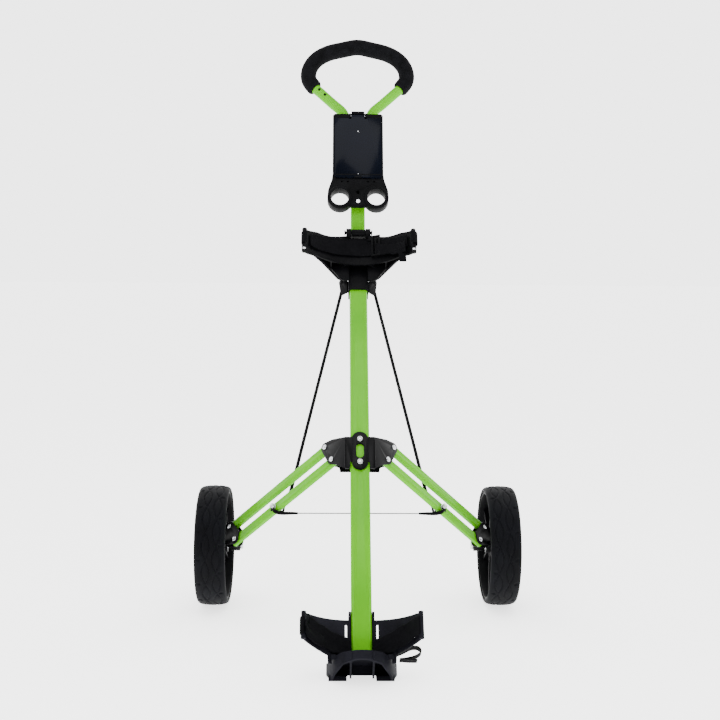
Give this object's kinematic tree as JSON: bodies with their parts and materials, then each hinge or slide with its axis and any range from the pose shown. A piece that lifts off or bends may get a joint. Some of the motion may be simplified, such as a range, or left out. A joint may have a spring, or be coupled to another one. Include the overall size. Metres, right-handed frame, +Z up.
{
  "type": "golf push trolley",
  "caption": "Two-wheeled golf bag trolley with a folding handle, a sliding upper cradle that folds the wheel arms, a toe plate for the bag and a scorecard console.",
  "frame": {"origin": "on the floor, at the middle of the trolley's bounding box", "axes": "+Z up, -Y towards the bag side (front), +Y towards the wheels and the grip, +X to the right as seen from the front"},
  "size_m": [0.649, 0.8276, 1.1896],
  "materials": {
    "green": "satin yellow-green powder coat with soft highlights along the tube edges",
    "plastic": "black moulded plastic with a fine grain",
    "black_steel": "black semi-gloss coated steel",
    "zinc": "bright zinc-plated rivets, screws and axles",
    "tyre": "black rubber with a shallow tread, slightly dusty on the tread",
    "grip": "closed-cell foam, matt and slightly pitted",
    "webbing": "black woven webbing",
    "lid": "smoked glossy plastic"
  },
  "bodies": {
    "frame": {"main_tube": "green", "tube_top_plug": "plastic", "base_toe": "plastic", "lower_cradle": "plastic", "cradle_screw_1": "zinc", "cradle_screw_2": "zinc", "lower_strap": "webbing", "strut_bracket_front": "black_steel", "strut_bracket_rear": "black_steel", "bracket_screw_lower": "zinc", "bracket_screw_upper": "zinc", "right_upper_inner_pin": "zinc", "right_lower_inner_pin": "zinc", "left_upper_inner_pin": "zinc", "left_lower_inner_pin": "zinc", "stay_cable": "black_steel"},
    "carriage": {"upper_sleeve": "plastic", "upper_cradle": "plastic", "upper_strap": "webbing", "strap_buckle": "plastic", "handle_hinge_pin": "zinc", "lock_lever_pin": "zinc", "right_rod_pin": "zinc", "left_rod_pin": "zinc"},
    "lock": {"lock_lever": "plastic"},
    "handle": {"handle_fitting": "plastic", "upper_tube": "green", "handle_tube": "green", "handle_grip": "grip", "handle_bolt_1": "zinc", "handle_bolt_2": "zinc", "console_body": "plastic", "console_screw": "zinc", "lid_pin": "zinc"},
    "lid": {"card_lid": "lid"},
    "right_upper_arm": {"right_upper_strut": "green"},
    "right_lower_arm": {"right_lower_strut": "green", "right_stay_bolt": "zinc"},
    "right_knuckle": {"right_knuckle": "black_steel", "right_knuckle_upper_pin": "zinc", "right_knuckle_lower_pin": "zinc", "right_axle": "zinc"},
    "right_wheel": {"right_tyre": "tyre", "right_rim": "plastic", "right_wheel_bush": "zinc", "right_wheel_cap": "plastic"},
    "right_push_rod": {"right_rod": "black_steel"},
    "left_upper_arm": {"left_upper_strut": "green"},
    "left_lower_arm": {"left_lower_strut": "green", "left_stay_bolt": "zinc"},
    "left_knuckle": {"left_knuckle": "black_steel", "left_knuckle_upper_pin": "zinc", "left_knuckle_lower_pin": "zinc", "left_axle": "zinc"},
    "left_wheel": {"left_tyre": "tyre", "left_rim": "plastic", "left_wheel_bush": "zinc", "left_wheel_cap": "plastic"},
    "left_push_rod": {"left_rod": "black_steel"}
  },
  "joints": [
    {"name": "carriage_slide", "type": "slide", "parent": "frame", "child": "carriage", "axis": [0, -0.6225, -0.7826], "range_m": [0, 0.0928], "deforming": ["stay_cable"]},
    {"name": "lock_lever_turn", "type": "hinge", "parent": "carriage", "child": "lock", "pos_m": [0, 0.14585, 0.62339], "axis": [1, 0, 0], "range_deg": [0, 80]},
    {"name": "handle_fold", "type": "hinge", "parent": "carriage", "child": "handle", "pos_m": [0, 0.15814, 0.7529], "axis": [1, 0, 0], "range_deg": [0, 145]},
    {"name": "lid_open", "type": "hinge", "parent": "handle", "child": "lid", "pos_m": [0, 0.28586, 1.0072], "axis": [-1, 0, 0], "range_deg": [0, 100]},
    {"name": "right_upper_arm_fold", "type": "hinge", "parent": "frame", "child": "right_upper_arm", "pos_m": [0.06, -0.07434, 0.33854], "axis": [-0.7254, 0.5387, -0.4285], "range_deg": [0, 62.5]},
    {"name": "right_lower_arm_fold", "type": "hinge", "parent": "frame", "child": "right_lower_arm", "pos_m": [0.0474, -0.1053, 0.32099], "axis": [-0.7254, 0.5387, -0.4285], "range_deg": [0, 62.5]},
    {"name": "right_knuckle_turn", "type": "hinge", "parent": "right_upper_arm", "child": "right_knuckle", "pos_m": [0.25161, 0.04015, 0.15813], "axis": [-0.7254, 0.5387, -0.4285], "range_deg": [-62.5, 0]},
    {"name": "right_wheel_spin", "type": "hinge", "parent": "right_knuckle", "child": "right_wheel", "pos_m": [0.288, 0.05375, 0.11999], "axis": [1, 0, 0], "continuous": true},
    {"name": "right_rod_swing", "type": "hinge", "parent": "carriage", "child": "right_push_rod", "pos_m": [0.0295, 0.1603, 0.64895], "axis": [-0.7254, 0.5387, -0.4285], "range_deg": [0, 14.8]},
    {"name": "left_upper_arm_fold", "type": "hinge", "parent": "frame", "child": "left_upper_arm", "pos_m": [-0.06, -0.07434, 0.33854], "axis": [-0.7254, -0.5387, 0.4285], "range_deg": [0, 62.5]},
    {"name": "left_lower_arm_fold", "type": "hinge", "parent": "frame", "child": "left_lower_arm", "pos_m": [-0.0474, -0.1053, 0.32099], "axis": [-0.7254, -0.5387, 0.4285], "range_deg": [0, 62.5]},
    {"name": "left_knuckle_turn", "type": "hinge", "parent": "left_upper_arm", "child": "left_knuckle", "pos_m": [-0.25161, 0.04015, 0.15813], "axis": [-0.7254, -0.5387, 0.4285], "range_deg": [-62.5, 0]},
    {"name": "left_wheel_spin", "type": "hinge", "parent": "left_knuckle", "child": "left_wheel", "pos_m": [-0.288, 0.05375, 0.11999], "axis": [1, 0, 0], "continuous": true},
    {"name": "left_rod_swing", "type": "hinge", "parent": "carriage", "child": "left_push_rod", "pos_m": [-0.0295, 0.1603, 0.64895], "axis": [-0.7254, -0.5387, 0.4285], "range_deg": [0, 14.8]}
  ],
  "couplings": [
    {"joint": "right_upper_arm_fold", "follows": "carriage_slide", "rad_per_m": 11.661},
    {"joint": "right_lower_arm_fold", "follows": "carriage_slide", "rad_per_m": 11.661},
    {"joint": "right_knuckle_turn", "follows": "carriage_slide", "rad_per_m": -11.661},
    {"joint": "right_rod_swing", "follows": "carriage_slide", "rad_per_m": 2.7308},
    {"joint": "left_upper_arm_fold", "follows": "carriage_slide", "rad_per_m": 11.661},
    {"joint": "left_lower_arm_fold", "follows": "carriage_slide", "rad_per_m": 11.661},
    {"joint": "left_knuckle_turn", "follows": "carriage_slide", "rad_per_m": -11.661},
    {"joint": "left_rod_swing", "follows": "carriage_slide", "rad_per_m": 2.7308}
  ]
}
